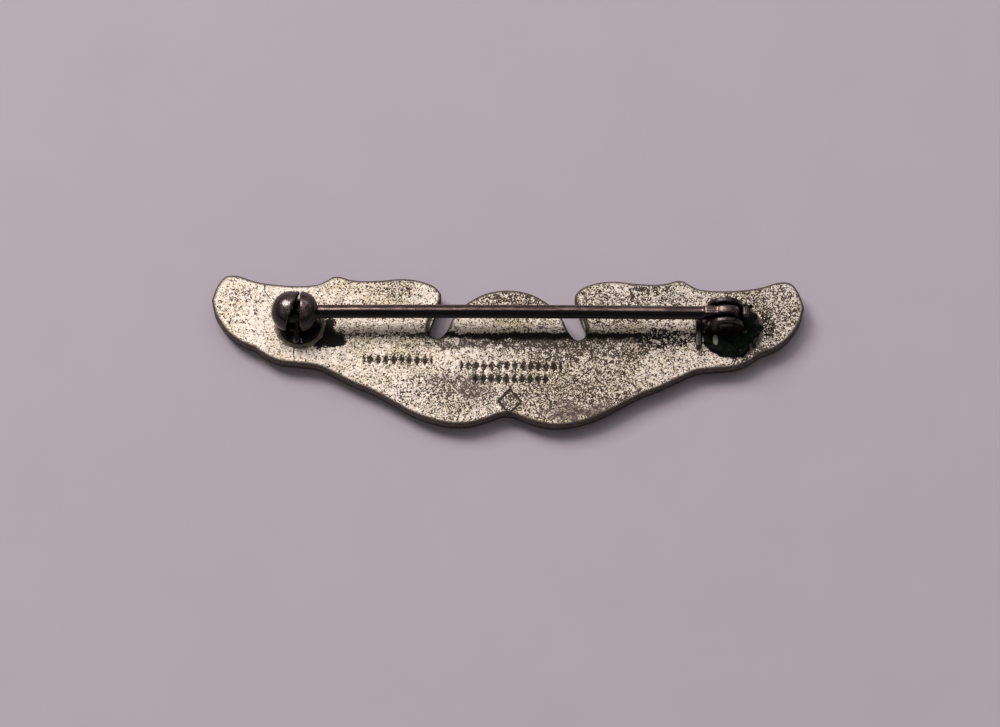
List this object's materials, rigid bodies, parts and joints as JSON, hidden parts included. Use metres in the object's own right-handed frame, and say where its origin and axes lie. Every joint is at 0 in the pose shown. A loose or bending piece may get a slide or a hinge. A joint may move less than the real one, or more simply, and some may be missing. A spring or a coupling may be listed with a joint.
{
  "type": "pilot wings pin",
  "caption": "Winged pilot badge, shown by its back: a flat struck plate with a hinged pin, a round-petalled safety catch and its turning collar.",
  "frame": {"origin": "under the middle of the badge, on the plane that its front rests on", "axes": "+X towards the hinge of the pin, +Y towards the top of the badge, +Z out of the back, where the pin is"},
  "size_m": [0.0508, 0.0136, 0.0058],
  "materials": {
    "silver": "tarnished struck silver, speckled",
    "patch_metal": "dark tarnished sheet metal",
    "hinge_metal": "dark tarnished sheet metal",
    "pin_wire": "drawn wire with a dark brown tarnish",
    "catch_metal": "polished and darkly tarnished",
    "collar_metal": "dark tarnish",
    "solder": "dull soft solder"
  },
  "bodies": {
    "badge": {"wing_plate": "silver", "joint_patch": "patch_metal", "joint_base": "hinge_metal", "joint_rivet": "hinge_metal", "catch_patch": "patch_metal", "catch_housing": "catch_metal", "joint_solder": "solder", "catch_solder": "solder"},
    "pin": {"pin_stem": "pin_wire"},
    "collar": {"catch_rotator": "collar_metal"}
  },
  "joints": [
    {"name": "stem_lift", "type": "hinge", "parent": "badge", "child": "pin", "pos_m": [0.01845, 0.0028, 0.0038], "axis": [-0.0096, 1, 0], "range_deg": [0, 100]},
    {"name": "collar_turn", "type": "hinge", "parent": "badge", "child": "collar", "pos_m": [-0.018, 0.00245, 0.004], "axis": [-1, -0.0096, 0], "range_deg": [0, 90]}
  ]
}
